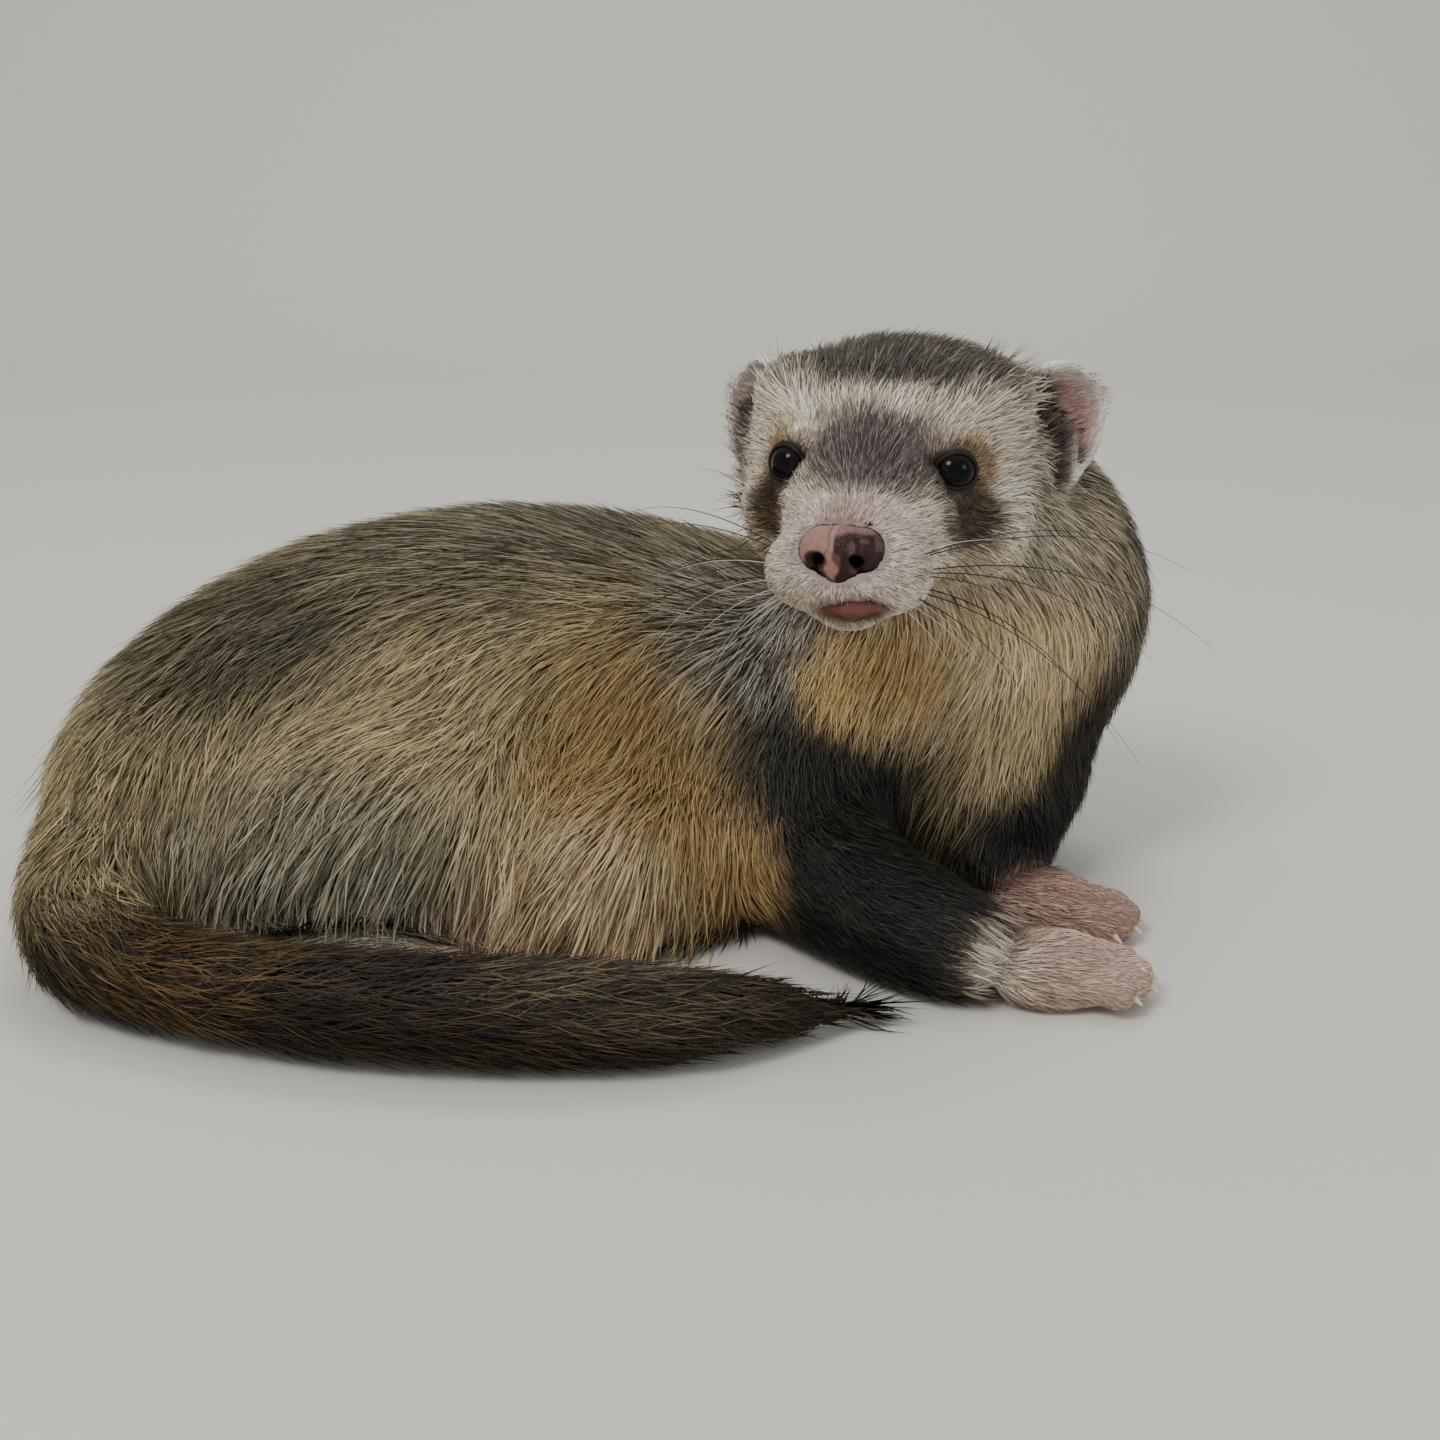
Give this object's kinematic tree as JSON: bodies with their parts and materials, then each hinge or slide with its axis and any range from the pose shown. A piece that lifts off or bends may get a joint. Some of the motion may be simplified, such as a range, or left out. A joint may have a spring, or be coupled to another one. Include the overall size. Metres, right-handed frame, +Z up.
{
  "type": "ferret",
  "caption": "Life-size ferret lying curled on the floor with its head up and its tail laid round in front.",
  "frame": {"origin": "middle of the underside of the bounding box, on the floor", "axes": "+X from the rump to the chest, -Y towards the side that the face looks to, +Z up"},
  "size_m": [0.2018, 0.1568, 0.1026],
  "materials": {
    "fur_flank": "grey-tan to ochre guard hair over pale underfur",
    "fur_dark": "near-black brown guard hair, slightly glossy",
    "fur_throat": "cream to pale ochre hair",
    "fur_face": "short grizzled hair, white muzzle with a dark mask",
    "ear_skin": "thin pink skin with pale down",
    "paw_skin": "pink skin under pale hair",
    "nose_skin": "moist mottled skin, pink and maroon",
    "lip_skin": "moist pink skin",
    "eye": "wet, glossy, almost black",
    "claw": "pale translucent horn"
  },
  "bodies": {
    "root": {"head": "fur_face", "neck": "fur_throat", "chest": "fur_dark", "loin": "fur_flank", "hips": "fur_flank", "thigh_right": "fur_flank", "thigh_left": "fur_flank", "foreleg_right": "fur_dark", "foreleg_left": "fur_dark", "tail_base": "fur_dark", "tail_middle": "fur_dark", "tail_tip": "fur_dark", "forepaw_right": "paw_skin", "forepaw_left": "paw_skin", "hindpaw_right": "paw_skin", "hindpaw_left": "paw_skin", "ear_left": "ear_skin", "ear_right": "ear_skin", "eye_left": "eye", "eye_right": "eye", "nose": "nose_skin", "lower_lip": "lip_skin", "forepaw_right_claw_1": "claw", "forepaw_right_claw_2": "claw", "forepaw_right_claw_3": "claw", "forepaw_right_claw_4": "claw", "forepaw_right_claw_5": "claw", "forepaw_left_claw_1": "claw", "forepaw_left_claw_2": "claw", "forepaw_left_claw_3": "claw", "forepaw_left_claw_4": "claw", "forepaw_left_claw_5": "claw", "hindpaw_right_claw_1": "claw", "hindpaw_right_claw_2": "claw", "hindpaw_right_claw_3": "claw", "hindpaw_right_claw_4": "claw", "hindpaw_right_claw_5": "claw", "hindpaw_left_claw_1": "claw", "hindpaw_left_claw_2": "claw", "hindpaw_left_claw_3": "claw", "hindpaw_left_claw_4": "claw", "hindpaw_left_claw_5": "claw"}
  },
  "joints": []
}
